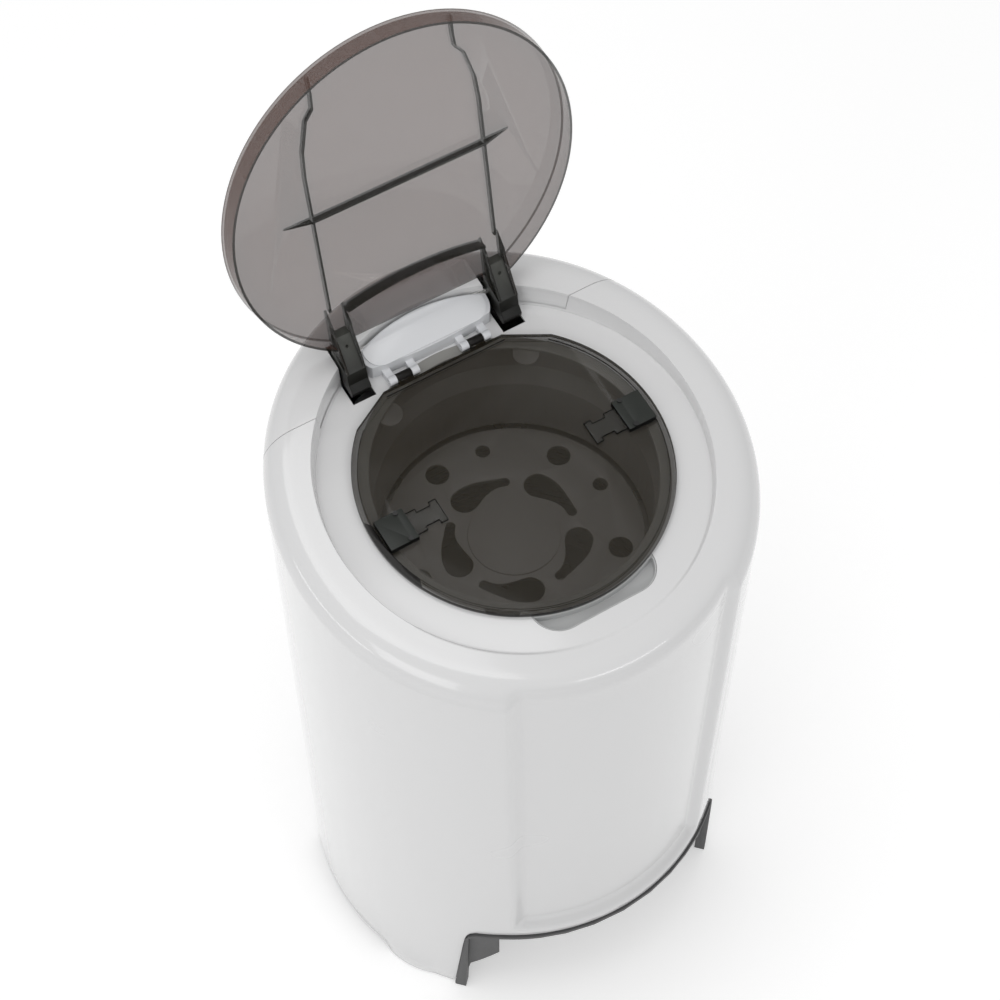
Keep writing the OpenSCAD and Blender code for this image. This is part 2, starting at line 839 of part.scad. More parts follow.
// ---- inner lid ----
inner_y = 1.5;
inner_gap = 0.4;
disc_up = 1.5;
corner_slope = 0.55;
module inner_outline(r) {
    intersection() {
        translate([0, inner_y])
            circle(r = r, $fn = 180);
        polygon([
            [-step_r, -step_r], [step_r, -step_r],
            [step_r, inner_chord - (inner_r - r) - corner_slope * (step_r - inner_chord_half)],
            [inner_chord_half, inner_chord - (inner_r - r)],
            [-inner_chord_half, inner_chord - (inner_r - r)],
            [-step_r, inner_chord - (inner_r - r) - corner_slope * (step_r - inner_chord_half)]
        ]);
    }
}
module inner_hinge_pins() {
    color("silver")
        inner_hinge()
            both_sides()
                along_x(knuckle_in + 1, knuckle_out + knuckle_w - 1, hinge_pin_r);
}
leg_x = latch_x + 6;
leg_w = 7;
leg_half = 8;
slide_gap = 0.3;
module inner_lid() {
    color("dimgray", 0.7)
        difference() {
            union() {
                on_collar(inner_gap)
                    linear_extrude(inner_rim_h - inner_gap)
                        difference() {
                            inner_outline(inner_r);
                            inner_outline(inner_r - inner_rim_w);
                        }
                on_collar(disc_up)
                    linear_extrude(inner_t)
                        inner_outline(inner_r - inner_rim_w + 1);
                inner_hinge()
                    both_sides() {
                        along_x(tab_x - tab_w / 2, tab_x + tab_w / 2, knuckle_r);
                        translate([tab_x - tab_w / 2, inner_chord - inner_hinge_y - 2, -3.4])
                            cube([tab_w, inner_hinge_y - inner_chord + 2, 3.9]);
                    }
            }
            inner_hinge()
                along_x(-tab_x - tab_w, tab_x + tab_w, hinge_pin_r + run_gap);
            on_collar()
                both_sides()
                    translate([leg_x - slide_gap, latch_y - leg_half - slide_gap, -1])
                        cube([leg_w + latch_travel + 2 * slide_gap, 2 * (leg_half + slide_gap), 8]);
        }
}
deck_up = disc_up + inner_t;
slider_t = 2.5;
latch_wall = 2;
screw_x = latch_x + 8;
screw_dy = latch_w / 2 - 2.2;
latch_screw_r = 1.1;
module latch_screw_spots() {
    on_collar(deck_up)
        both_sides()
            for (s = [-1, 1])
                translate([screw_x, latch_y + s * screw_dy, 0])
                    children();
}
module latch_housings() {
    color("darkslategray")
        difference() {
            on_collar(deck_up)
                both_sides()
                    translate([latch_x, latch_y - latch_w / 2, 0])
                        difference() {
                            cube([latch_l, latch_w, latch_h]);
                            translate([-1, 2 * latch_wall, -1])
                                cube([
                                    latch_l + 1 - latch_wall, latch_w - 4 * latch_wall,
                                    slider_t + 1 + 2 * slide_gap
                                ]);
                        }
            latch_screw_spots()
                translate([0, 0, -1])
                    cylinder(r = latch_screw_r, h = latch_h + 2);
        }
}
module latch_screws() {
    color("silver")
        latch_screw_spots() {
            cylinder(r = latch_screw_r, h = latch_h);
            translate([0, 0, latch_h])
                cylinder(r = 2 * latch_screw_r + 0.2, h = 1.2);
        }
}
slider_half = latch_w / 2 - 2 * latch_wall - slide_gap;
module latch_slider() {
    on_collar(deck_up + slide_gap)
        translate([0, latch_y, 0]) {
            translate([latch_x - 12, -slider_half, 0])
                cube([leg_x + leg_w - latch_x + 12, 2 * slider_half, slider_t]);
            translate([latch_x - 28, -slider_half + 4, 0])
                cube([17, 2 * slider_half - 8, slider_t]);
            translate([latch_x - 34, -slider_half, 0])
                cube([8, 2 * slider_half, slider_t]);
            translate([leg_x, -leg_half, -deck_up - 9])
                cube([leg_w, 2 * leg_half, deck_up + 10]);
            translate([leg_x, -leg_half, -deck_up - 9])
                cube([mouth_r - 1.6 - leg_x, 2 * leg_half, 4.5]);
        }
}
module left_latch_slider() {
    color("gray", 0.7)
        mirror([1, 0, 0])
            latch_slider();
}
module right_latch_slider() {
    color("gray", 0.7)
        latch_slider();
}

// ---- outer tub ----
hub_tube_r = 30;
hub_tube_h = 16;
seal_r = 17;
tub_mouth_r = funnel_top_r + funnel_t + 0.3;
module outer_tub() {
    color("lightgray")
        difference() {
            union() {
                rotate_extrude()
                    polygon([
                        [hub_tube_r - 4, tub_z], [tub_r, tub_z], [tub_r, tub_top],
                        [tub_mouth_r, tub_top], [tub_mouth_r, tub_top - tub_t],
                        [tub_r - tub_t, tub_top - tub_t], [tub_r - tub_t, tub_z + tub_t],
                        [hub_tube_r - 4, tub_z + tub_t]
                    ]);
                translate([0, 0, tub_z - hub_tube_h + tub_t])
                    cylinder(r = hub_tube_r, h = hub_tube_h);
            }
            translate([0, 0, tub_z - hub_tube_h])
                cylinder(r = seal_r, h = 60);
            translate([0, drain_y, tub_z - 1])
                cylinder(r = spout_bore_r, h = 10);
        }
}
module tub_columns() {
    color("dimgray")
        for (a = column_deg)
            rotate([0, 0, a])
                translate([column_ring_r, 0, base_z + base_t])
                    ring(10, 6, tub_z - base_z - base_t);
}
module shaft_seal() {
    color("black")
        translate([0, 0, tub_z - hub_tube_h + tub_t])
            ring(seal_r, shaft_r + run_gap, hub_tube_h);
}
spout_out = 30;
spout_len = 26;
spout_turn = 125;
bend_r = spout_r + 2.5;
module spout_path(r, at_bend, past = 0) {
    translate([0, drain_y, base_z - spout_out]) {
        cylinder(r = r, h = tub_z - base_z + spout_out + past);
        sphere(r = at_bend);
        rotate([spout_turn, 0, 0])
            cylinder(r = r, h = spout_len + past);
    }
}
module drain_spout() {
    color("dimgray")
        difference() {
            spout_path(spout_r, bend_r);
            spout_path(spout_bore_r, spout_bore_r, 5);
        }
}

// ---- basket ----
hole_rows = 4;
hole_count = 12;
hole_r = 3;
hole_margin = 40;
hole_step = (basket_top - basket_floor - 2 * hole_margin) / (hole_rows - 1);
hub_seat_r = 22;
module basket() {
    color("silver")
        difference() {
            rotate_extrude()
                polygon([
                    [hub_seat_r, basket_floor], [basket_r, basket_floor], [basket_r, basket_top],
                    [basket_mouth_r, basket_top], [basket_mouth_r, basket_top - 2 * basket_t],
                    [basket_r - basket_t, basket_top - 2 * basket_t],
                    [basket_r - basket_t, basket_floor + basket_t],
                    [hub_seat_r, basket_floor + basket_t]
                ]);
            for (i = [0:hole_rows - 1])
                for (j = [0:hole_count / 2 - 1])
                    translate([0, 0, basket_floor + hole_margin + i * hole_step])
                        rotate([0, 0, (j + 0.5 * (i % 2)) * 360 / hole_count])
                            along_x(-basket_r - 5, basket_r + 5, hole_r);
        }
}
hub_low = basket_floor - 12;
hub_top = basket_floor + basket_t + 8;
hub_neck_r = 20;
flange_r = 60;
flange_edge = 3;
module basket_hub() {
    color("darkgray")
        rotate_extrude()
            polygon([
                [shaft_r, hub_low], [hub_neck_r, hub_low], [flange_r, basket_floor - flange_edge],
                [flange_r, basket_floor], [hub_seat_r - seat_gap, basket_floor],
                [hub_seat_r - seat_gap, hub_top], [shaft_r, hub_top]
            ]);
}
nut_r = 15;
nut_h = 10;
module hub_nut() {
    color("silver")
        translate([0, 0, hub_top])
            difference() {
                cylinder(r = nut_r, h = nut_h, $fn = 6);
                translate([0, 0, -1])
                    cylinder(r = shaft_r, h = nut_h + 2);
            }
}
outer_hole_r = press_r - 23.5;
big_hole_deg = 105.5;
big_hole_r = 12;
small_hole_deg = 76;
small_hole_r = 7.5;
comma_r = outer_hole_r - 41.5;
comma_span = 42;
comma_head = 14;
comma_tail = 5;
comma_deg = 109;
boss_r = comma_r - comma_head - 4;
function comma_edge(side) = [
    for (i = [0:8])
        let (u = i / 8, a = -comma_span * u)
        let (half = comma_head + (comma_tail - comma_head) * smooth(u * 1.1))
        (comma_r + side * half) * [cos(a), sin(a)]
];
module comma_hole() {
    linear_extrude(press_t + 2)
        polygon(concat(comma_edge(1), [for (i = [8:-1:0]) comma_edge(-1)[i]]));
    translate([comma_r, 0, 0])
        cylinder(r = comma_head, h = press_t + 2);
    rotate([0, 0, -comma_span])
        translate([comma_r, 0, 0])
            cylinder(r = comma_tail, h = press_t + 2);
}
press_z = basket_top + 0.2;
module press_disc() {
    color("darkgray")
        translate([0, 0, press_z])
            difference() {
                union() {
                    cylinder(r = press_r, h = press_t);
                    cylinder(r = boss_r, h = press_t + 1.5);
                }
                for (i = [0:4])
                    rotate([0, 0, -72 * i]) {
                        rotate([0, 0, comma_deg])
                            translate([0, 0, -1])
                                comma_hole();
                        rotate([0, 0, big_hole_deg])
                            translate([outer_hole_r, 0, -1])
                                cylinder(r = big_hole_r, h = press_t + 2);
                        rotate([0, 0, small_hole_deg])
                            translate([outer_hole_r, 0, -1])
                                cylinder(r = small_hole_r, h = press_t + 2);
                    }
            }
}

// ---- motor and drive, from the base plate up ----
plate_z = base_z + base_t + damper_h;
motor_plate_t = 4;
bell_t = 12;
stator_z = plate_z + motor_plate_t + bell_t;
upper_bell_z = stator_z + stator_h;
upper_bell_h = 14;
brake_z = upper_bell_z + upper_bell_h + 8;
brake_t = 5;
bearing_r = 17.5;
bearing_w = 10;
rotor_r = 34;
module drive_shaft() {
    color("silver")
        translate([0, 0, plate_z + motor_plate_t + 1])
            cylinder(r = shaft_r, h = hub_top + nut_h + 3 - plate_z - motor_plate_t - 1);
}
module upper_bearing() {
    color("silver")
        translate([0, 0, upper_bell_z + upper_bell_h - bearing_w])
            ring(bearing_r, shaft_r + run_gap, bearing_w);
}
module lower_bearing() {
    color("silver")
        translate([0, 0, plate_z + motor_plate_t + 1])
            ring(bearing_r, shaft_r + run_gap, bearing_w);
}
module motor_stator() {
    color("steelblue")
        translate([0, 0, stator_z])
            difference() {
                cylinder(r = stator_r, h = stator_h);
                translate([0, 0, -1])
                    cylinder(r = rotor_r + 0.6, h = stator_h + 2);
            }
}
module motor_rotor() {
    color("silver")
        translate([0, 0, stator_z + 3])
            ring(rotor_r, shaft_r, stator_h - 6);
}
module end_bell(h, z_bearing) {
    difference() {
        cylinder(r = stator_r - 4, h = h);
        translate([0, 0, z_bearing])
            cylinder(r = bearing_r, h = bearing_w + 10);
        translate([0, 0, -1])
            cylinder(r = shaft_r + 2, h = h + 2);
    }
}
module upper_end_bell() {
    color("gray")
        translate([0, 0, upper_bell_z])
            end_bell(upper_bell_h, upper_bell_h - bearing_w);
}
module lower_end_bell() {
    color("gray")
        translate([0, 0, plate_z + motor_plate_t])
            difference() {
                end_bell(bell_t, 1);
                translate([0, 0, bell_t])
                    cylinder(r = bearing_r, h = 5);
            }
}
module motor_plate() {
    color("dimgray")
        translate([0, 0, plate_z])
            difference() {
                cylinder(r = damper_ring_r + 18, h = motor_plate_t);
                for (a = damper_deg)
                    rotate([0, 0, a])
                        translate([damper_ring_r, 0, -1])
                            cylinder(r = stud_r, h = motor_plate_t + 2);
            }
}
module rubber_dampers() {
    color("black")
        for (a = damper_deg)
            rotate([0, 0, a])
                translate([damper_ring_r, 0, base_z + base_t])
                    ring(16, stud_r, damper_h);
}
module damper_studs() {
    color("silver")
        for (a = damper_deg)
            rotate([0, 0, a])
                translate([damper_ring_r, 0, base_z - 4]) {
                    cylinder(r = stud_r, h = base_t + damper_h + motor_plate_t + 12);
                    cylinder(r = 8, h = 4);
                    translate([0, 0, plate_z + motor_plate_t - base_z + 4])
                        cylinder(r = 8, h = 6);
                }
}

// ---- brake, worked by the right lid arm through a rod ----
rod_x = arm_x + arm_w / 2;
rod_y = pivot_y + 27;
rod_ring_r = sqrt(rod_x * rod_x + rod_y * rod_y);
rod_deg = atan2(rod_y, rod_x);
rod_r = 4;
rod_travel = 6;
rod_top = pivot_z - 34;
lever_z = brake_z + brake_t + 6;
lever_t = 7;
lever_arm = 50;
lever_w = 16;
lever_pin_r = 2.5;
ear_t = 5;
ear_gap = 0.5;
bracket_half = lever_w / 2 + ear_gap + ear_t;
brake_hub_r = 14;
brake_hub_h = 14;
rod_foot = 14;
rod_collar_r = 7;
lever_pivot_r = rod_ring_r - lever_arm;
shoe_r = 62;
module brake_frame() {
    rotate([0, 0, rod_deg])
        children();
}
module brake_disc() {
    color("silver")
        translate([0, 0, brake_z]) {
            ring(brake_r, shaft_r, brake_t);
            translate([0, 0, -brake_t])
                ring(brake_hub_r, shaft_r, brake_hub_h);
        }
}
module brake_lever() {
    color("gray")
        brake_frame()
            translate([0, 0, lever_z])
                difference() {
                    translate([shoe_r - 10, -lever_w / 2, 0])
                        cube([rod_ring_r - shoe_r + 18, lever_w, lever_t]);
                    translate([lever_pivot_r, bracket_half, lever_t / 2])
                        rotate([90, 0, 0])
                            cylinder(r = lever_pin_r + run_gap, h = 2 * bracket_half);
                    translate([rod_ring_r - rod_r - 3, -rod_r - 1.5, -1])
                        cube([2 * rod_r + 6, 2 * rod_r + 3, lever_t + 2]);
                }
}
module brake_shoe() {
    color("black")
        brake_frame()
            translate([shoe_r, 0, brake_z + brake_t + seat_gap])
                cylinder(r = 9, h = lever_z - brake_z - brake_t - seat_gap);
}
module brake_bracket() {
    color("dimgray")
        brake_frame()
            translate([lever_pivot_r, 0, lever_z - 4])
                difference() {
                    for (y = [-bracket_half, bracket_half - ear_t])
                        translate([-8, y, 0])
                            cube([16, ear_t, tub_z - lever_z + 4]);
                    translate([0, bracket_half + 1, 4 + lever_t / 2])
                        rotate([90, 0, 0])
                            cylinder(r = lever_pin_r, h = 2 * bracket_half + 2);
                }
}
module brake_pin() {
    color("silver")
        brake_frame()
            translate([lever_pivot_r, bracket_half + 0.5, lever_z + lever_t / 2])
                rotate([90, 0, 0])
                    cylinder(r = lever_pin_r, h = 2 * bracket_half + 1);
}
module brake_rod() {
    color("silver")
        brake_frame()
            translate([rod_ring_r, 0, lever_z - rod_foot]) {
                cylinder(r = rod_r, h = rod_top - lever_z + rod_foot);
                translate([0, 0, rod_foot + lever_t + 1.5])
                    cylinder(r = rod_collar_r, h = 4);
                cylinder(r = rod_collar_r, h = 6);
            }
}
guide_z = 560;
module rod_guide() {
    color("dimgray")
        brake_frame()
            translate([tub_r, -9, guide_z])
                difference() {
                    cube([rod_ring_r - tub_r + 10, 18, 10]);
                    translate([rod_ring_r - tub_r, 9, -1])
                        cylinder(r = rod_r + run_gap, h = 12);
                }
}
switch_size = [26, 16, 34];
module interlock_switch() {
    color("black")
        brake_frame()
            translate([tub_r, 9.5, guide_z + 30])
                difference() {
                    cube(switch_size);
                    translate([switch_size[0] / 2, switch_size[1] + 1, switch_size[2] / 2])
                        rotate([90, 0, 0])
                            cylinder(r = 2, h = 20);
                }
}
module start_capacitor() {
    color("lightgray")
        translate([capacitor_at[0], capacitor_at[1], base_z + base_t + clip_t])
            cylinder(r = capacitor_r, h = capacitor_h);
}
module capacitor_clip() {
    color("gray")
        translate([capacitor_at[0], capacitor_at[1], base_z + base_t]) {
            cylinder(r = capacitor_r + 2, h = clip_t);
            translate([0, 0, clip_t])
                ring(capacitor_r + 2, capacitor_r, clip_h);
        }
}

cabinet_shell();
sunk_collar();
rear_hinge_cover();
hinge_console();
console_plate();
finger_cup();
collar_funnel();
base_frame();
rubber_feet();
cord_gland();
lid_pivot_pins();
outer_lid();
left_lid_arm();
right_lid_arm();
lid_arm_screws();
inner_hinge_pins();
inner_lid();
latch_housings();
latch_screws();
left_latch_slider();
right_latch_slider();
outer_tub();
tub_columns();
shaft_seal();
drain_spout();
basket();
basket_hub();
hub_nut();
press_disc();
drive_shaft();
upper_bearing();
lower_bearing();
motor_stator();
motor_rotor();
upper_end_bell();
lower_end_bell();
motor_plate();
rubber_dampers();
damper_studs();
brake_disc();
brake_lever();
brake_shoe();
brake_bracket();
brake_pin();
brake_rod();
rod_guide();
interlock_switch();
start_capacitor();
capacitor_clip();
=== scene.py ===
"""A round laundry spin dryer with its smoked outer lid open and its inner lid closed."""
import json
import math

import bmesh
import bpy
from mathutils import Matrix, Vector

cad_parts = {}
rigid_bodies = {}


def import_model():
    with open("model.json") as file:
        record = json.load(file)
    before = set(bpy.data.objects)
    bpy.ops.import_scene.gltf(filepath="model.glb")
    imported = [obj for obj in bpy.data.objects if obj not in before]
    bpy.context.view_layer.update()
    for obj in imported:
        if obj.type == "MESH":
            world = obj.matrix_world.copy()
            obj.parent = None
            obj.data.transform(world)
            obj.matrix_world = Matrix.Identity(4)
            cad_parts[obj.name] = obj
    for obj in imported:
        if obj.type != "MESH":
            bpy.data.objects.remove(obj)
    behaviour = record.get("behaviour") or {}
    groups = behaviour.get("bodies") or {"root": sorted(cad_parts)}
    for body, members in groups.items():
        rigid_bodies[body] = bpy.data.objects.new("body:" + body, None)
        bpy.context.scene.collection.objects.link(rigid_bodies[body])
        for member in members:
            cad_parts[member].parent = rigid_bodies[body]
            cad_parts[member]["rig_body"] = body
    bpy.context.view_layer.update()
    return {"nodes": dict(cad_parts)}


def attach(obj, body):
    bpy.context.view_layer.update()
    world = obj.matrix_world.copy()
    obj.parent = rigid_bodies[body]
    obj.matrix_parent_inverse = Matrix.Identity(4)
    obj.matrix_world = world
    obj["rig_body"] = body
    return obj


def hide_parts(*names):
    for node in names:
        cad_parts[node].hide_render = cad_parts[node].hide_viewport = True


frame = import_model()
nodes = frame["nodes"]
scene = bpy.context.scene

# ---- sizes in millimetres, as the solids have them ----
MM = 0.001
WALL_T = 3.0
FLOOR_R = 230.9
SHOULDER_R = 235.0
REAR_BULGE = 9.5
RING_H = 730.9
RING_TILT = 9.5
EDGE_R = 28.0
COLLAR_H = 717.5
COLLAR_TILT = 5.6
STEP_R = 190.5
STEP_OUT = 1.5
STEP_RUN = 5.5
STEP_FLAT = 0.15
STEP_FALL = 0.7
MOUTH_R = 137.5
RECESS_DEPTH = 10.0
RECESS_Z = 164.0
RECESS_TOP_Z = 680.0
RECESS_FOOT_DEG = 30.0
RECESS_TOP_DEG = 32.5
RECESS_STEP = 16.0
RECESS_SIDE_DEG = 4.0
RECESS_OUT_DEG = 1.5
RECESS_FADE_DEG = 75.0
FOOT_GAP = 1.5
SKIRT_Z = 17.5
ARCH_H = 156.0
LEG_FLARE = 4.0
FLARE_H = 70.0
FLARE_DEG = 8.0
FLARE_MIDDLE = 62.0
SEAM_Y = 129.0
SEAM_Z = 700.0
SEAM_GAP = 0.3
COVER_LAP = 2
COVER_REACH = 300
ABOVE_ALL = 120
SLOT_IN = 71.3
SLOT_OUT = 96.5
SLOT_FRONT = 137.5
SLOT_BACK = 190.0
SLOT_DROP = 10
CUP_HALF = 66.0
CUP_Y = 166.0
CUP_IN_R = 151.5
CUP_CORNER = 28.0
CUP_DEEP = 20
GLAND_Z = 120.0
GLAND_R = 9.0
GLAND_LONG = 60
# Lower edge of the wall: angle from the front and height, left and right alike
EDGE_LINE = (
    (0, ARCH_H), (34, ARCH_H), (41.3, 153), (43.2, 147), (44.3, 137), (45, 113), (47.7, FOOT_GAP),
    (68, FOOT_GAP), (72, SKIRT_Z), (108, SKIRT_Z), (112, FOOT_GAP), (132, FOOT_GAP), (136, SKIRT_Z),
    (180, SKIRT_Z),
)


# ---- materials ----
def new_material(name):
    """A material with its Principled shader, and the object's own coordinates."""
    mat = bpy.data.materials.new(name)
    mat.use_nodes = True
    tree = mat.node_tree
    shader = tree.nodes["Principled BSDF"]
    place = tree.nodes.new("ShaderNodeTexCoord")
    return mat, tree, shader, place.outputs["Object"]


def noise(tree, coords, scale, stretch=(1, 1, 1)):
    """An even noise on the object's coordinates, drawn out by stretch."""
    mapping = tree.nodes.new("ShaderNodeMapping")
    mapping.inputs["Scale"].default_value = stretch
    tree.links.new(coords, mapping.inputs["Vector"])
    texture = tree.nodes.new("ShaderNodeTexNoise")
    texture.inputs["Scale"].default_value = scale
    texture.inputs["Detail"].default_value = 2.0
    tree.links.new(mapping.outputs["Vector"], texture.inputs["Vector"])
    return texture.outputs["Fac"]


def spread(tree, value, low, high):
    """Maps a noise value to the span from low to high."""
    span = tree.nodes.new("ShaderNodeMapRange")
    span.clamp = False
    span.inputs["From Min"].default_value = 0.25
    span.inputs["From Max"].default_value = 0.75
    span.inputs["To Min"].default_value = low
    span.inputs["To Max"].default_value = high
    tree.links.new(value, span.inputs["Value"])
    return span.outputs["Result"]


def finish(name, colour, rough, mottle=0.03, mottle_scale=9.0, grain=0.00002, grain_scale=900.0,
           rough_spread=0.04, metallic=0.0, alpha=1.0, stretch=(1, 1, 1), coat=0.0, specular=0.5):
    """A moulded or metal finish: slight mottling, uneven gloss and a fine surface grain."""
    mat, tree, shader, coords = new_material(name)
    shader.inputs["Metallic"].default_value = metallic
    shader.inputs["Specular IOR Level"].default_value = specular
    shader.inputs["Coat Weight"].default_value = coat
    shader.inputs["Coat Roughness"].default_value = 0.08
    shader.inputs["Alpha"].default_value = alpha
    patch = noise(tree, coords, mottle_scale, stretch)
    ramp = tree.nodes.new("ShaderNodeMix")
    ramp.data_type = "RGBA"
    ramp.inputs["A"].default_value = [c * (1 - mottle) for c in colour] + [1]
    ramp.inputs["B"].default_value = [min(1.0, c * (1 + mottle)) for c in colour] + [1]
    tree.links.new(spread(tree, patch, 0, 1), ramp.inputs["Factor"])
    tree.links.new(ramp.outputs["Result"], shader.inputs["Base Color"])
    gloss = spread(tree, patch, rough - rough_spread, rough + rough_spread)
    tree.links.new(gloss, shader.inputs["Roughness"])
    if grain:
        bump = tree.nodes.new("ShaderNodeBump")
        bump.inputs["Strength"].default_value = 1.0
        bump.inputs["Distance"].default_value = grain
        tree.links.new(noise(tree, coords, grain_scale, stretch), bump.inputs["Height"])
        tree.links.new(bump.outputs["Normal"], shader.inputs["Normal"])
    return mat


white_gloss = finish("white_gloss", (0.715, 0.715, 0.718), 0.26, 0.006, 5.0, 0, rough_spread=0.02, coat=0.9)
white_cover = finish("white_cover_gloss", (0.715, 0.715, 0.718), 0.26, 0.006, 6.0, 0, rough_spread=0.02,
                     coat=0.9)
console_white = finish("console_white", (0.66, 0.67, 0.69), 0.3, 0.008, 12.0, 0.000004, 300.0)
plate_white = finish("plate_white", (0.74, 0.75, 0.77), 0.2, 0.006, 14.0, 0, rough_spread=0.02, coat=0.4)
# painted shade: the white collar under the inner lid's rim is coloured grey to darken it
seat_painted_shade_grey = finish("seat_painted_shade_grey", (0.26, 0.255, 0.24), 0.4, 0.03, 14.0, 0.00002, 700.0)
# painted shade: the finger cup is coloured grey to stand for the shade in the scoop under the lid's front
# edge
cup_painted_shade_grey = finish("cup_painted_shade_grey", (0.45, 0.455, 0.455), 0.34, 0.04, 22.0, 0.00002, 700.0)
charcoal = finish("charcoal_moulding", (0.055, 0.055, 0.056), 0.5, 0.10, 30.0, 0.00012, 1300.0)
foot_rubber = finish("foot_rubber", (0.022, 0.022, 0.022), 0.75, 0.15, 60.0, 0.0001, 900.0)
lid_plate = finish("lid_plate", (0.093, 0.042, 0.029), 0.06, 0.04, 5.0, 0, rough_spread=0.01, alpha=0.50)
lid_rim = finish("lid_rim", (0.022, 0.018, 0.014), 0.10, 0.06, 9.0, 0, rough_spread=0.02, alpha=0.82)
lid_rib = finish("lid_rib", (0.014, 0.014, 0.011), 0.16, 0.06, 9.0, 0, rough_spread=0.02, alpha=0.80)
inner_plate = finish("inner_plate", (0.026, 0.020, 0.010), 0.07, 0.04, 7.0, 0, rough_spread=0.01,
                     alpha=0.34)
inner_rim = finish("inner_rim", (0.008, 0.007, 0.006), 0.14, 0.06, 12.0, 0, rough_spread=0.02, alpha=0.93,
                   specular=0.2)
screw_dark = finish("screw_dark", (0.05, 0.05, 0.05), 0.4, 0.10, 90.0, 0.00001, 900.0, 0.05, 1.0)
latch_dark = finish("latch_dark", (0.022, 0.025, 0.022), 0.38, 0.08, 40.0, 0.00003, 900.0, specular=0.25)
# painted shade: the latch housing's sides and rounded edges are near black, while its faces along the
# collar stay lighter
latch_side_painted_shade = finish("latch_side_painted_shade", (0.004, 0.004, 0.004), 0.4, 0.08, 40.0, 0, specular=0.15)
slider_clear = finish("slider_clear", (0.05, 0.05, 0.045), 0.12, 0.05, 20.0, 0.00001, 200.0, alpha=0.22)
slider_edge = finish("slider_edge", (0.003, 0.003, 0.002), 0.3, 0.05, 20.0, 0, alpha=0.96, specular=0.1)
grey_moulding = finish("grey_moulding", (0.26, 0.25, 0.24), 0.45, 0.05, 18.0, 0.00004, 900.0)
disc_grey = finish("disc_grey", (0.40, 0.385, 0.37), 0.42, 0.03, 12.0, 0.00003, 700.0)
tub_grey = finish("tub_grey", (0.34, 0.34, 0.33), 0.45, 0.05, 12.0, 0.00004, 700.0)
stainless = finish("stainless", (0.56, 0.56, 0.55), 0.3, 0.05, 30.0, 0.00002, 500.0, 0.06, 1.0,
                   stretch=(1, 1, 14))
bright_steel = finish("bright_steel", (0.62, 0.62, 0.61), 0.22, 0.05, 60.0, 0.00001, 900.0, 0.05, 1.0,
                      stretch=(8, 1, 1))
cast_alloy = finish("cast_alloy", (0.55, 0.56, 0.57), 0.48, 0.08, 50.0, 0.00012, 700.0, 0.08, 1.0)
painted_steel = finish("painted_steel", (0.13, 0.13, 0.14), 0.42, 0.06, 30.0, 0.00004, 500.0)
can_alloy = finish("can_alloy", (0.66, 0.67, 0.68), 0.28, 0.04, 30.0, 0.00001, 800.0, 0.05, 1.0,
                   stretch=(1, 1, 10))


def painted_sheen_rising(name, low, high, z_low, z_high, rough):
    """A smoked moulding that is near black at its foot and paler towards the top, where the paleness is a
    painted reflection.
    """
    mat, tree, shader, coords = new_material(name)
    apart = tree.nodes.new("ShaderNodeSeparateXYZ")
    tree.links.new(coords, apart.inputs["Vector"])
    rise = tree.nodes.new("ShaderNodeMapRange")
    rise.interpolation_type = "SMOOTHSTEP"
    rise.inputs["From Min"].default_value = z_low * MM
    rise.inputs["From Max"].default_value = z_high * MM
    tree.links.new(apart.outputs["Z"], rise.inputs["Value"])
    mix = tree.nodes.new("ShaderNodeMix")
    mix.data_type = "RGBA"
    mix.inputs["A"].default_value = [*low, 1]
    mix.inputs["B"].default_value = [*high, 1]
    tree.links.new(rise.outputs["Result"], mix.inputs["Factor"])
    tree.links.new(mix.outputs["Result"], shader.inputs["Base Color"])
    patch = noise(tree, coords, 25.0)
    tree.links.new(spread(tree, patch, rough - 0.03, rough + 0.03), shader.inputs["Roughness"])
    shader.inputs["Specular IOR Level"].default_value = 0.3
    return mat


# painted reflection: the lid arms turn from near black to a paler grey-green up their height
arm_black_painted_sheen = painted_sheen_rising("arm_black_painted_sheen", (0.006, 0.006, 0.005), (0.070, 0.072, 0.064), 745.0, 800.0, 0.32)


def laminated(name, colour, pitch):
    """Stacked steel sheets: fine bands of light and dark up the height."""
    mat, tree, shader, coords = new_material(name)
    wave = tree.nodes.new("ShaderNodeTexWave")
    wave.bands_direction = "Z"
    wave.inputs["Scale"].default_value = 1 / pitch
    wave.inputs["Distortion"].default_value = 0.3
    tree.links.new(coords, wave.inputs["Vector"])
    mix = tree.nodes.new("ShaderNodeMix")
    mix.data_type = "RGBA"
    mix.inputs["A"].default_value = [c * 0.6 for c in colour] + [1]
    mix.inputs["B"].default_value = list(colour) + [1]
    tree.links.new(wave.outputs["Fac"], mix.inputs["Factor"])
    tree.links.new(mix.outputs["Result"], shader.inputs["Base Color"])
    shader.inputs["Metallic"].default_value = 0.8
    shader.inputs["Roughness"].default_value = 0.45
    return mat


stator_steel = laminated("stator_sheets", (0.20, 0.26, 0.36), 0.004)


# ---- mesh helpers ----
def piece_from(bm, name, mat, body, replaced=(), sharp=30.0):
    """Turns a bmesh in metres into a piece that rides on a body."""
    mesh = bpy.data.meshes.new(name)
    bm.to_mesh(mesh)
    bm.free()
    mesh.shade_smooth()
    mesh.set_sharp_from_angle(angle=math.radians(sharp))
    for m in mat if isinstance(mat, (list, tuple)) else (mat,):
        mesh.materials.append(m)
    obj = bpy.data.objects.new(name, mesh)
    scene.collection.objects.link(obj)
    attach(obj, body)
    if replaced:
        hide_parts(*replaced)
    return obj


def applied(obj):
    """Applies an object's modifiers to its mesh."""
    graph = bpy.context.evaluated_depsgraph_get()
    graph.update()
    mesh = bpy.data.meshes.new_from_object(obj.evaluated_get(graph))
    obj.modifiers.clear()
    old = obj.data
    obj.data = mesh
    bpy.data.meshes.remove(old)


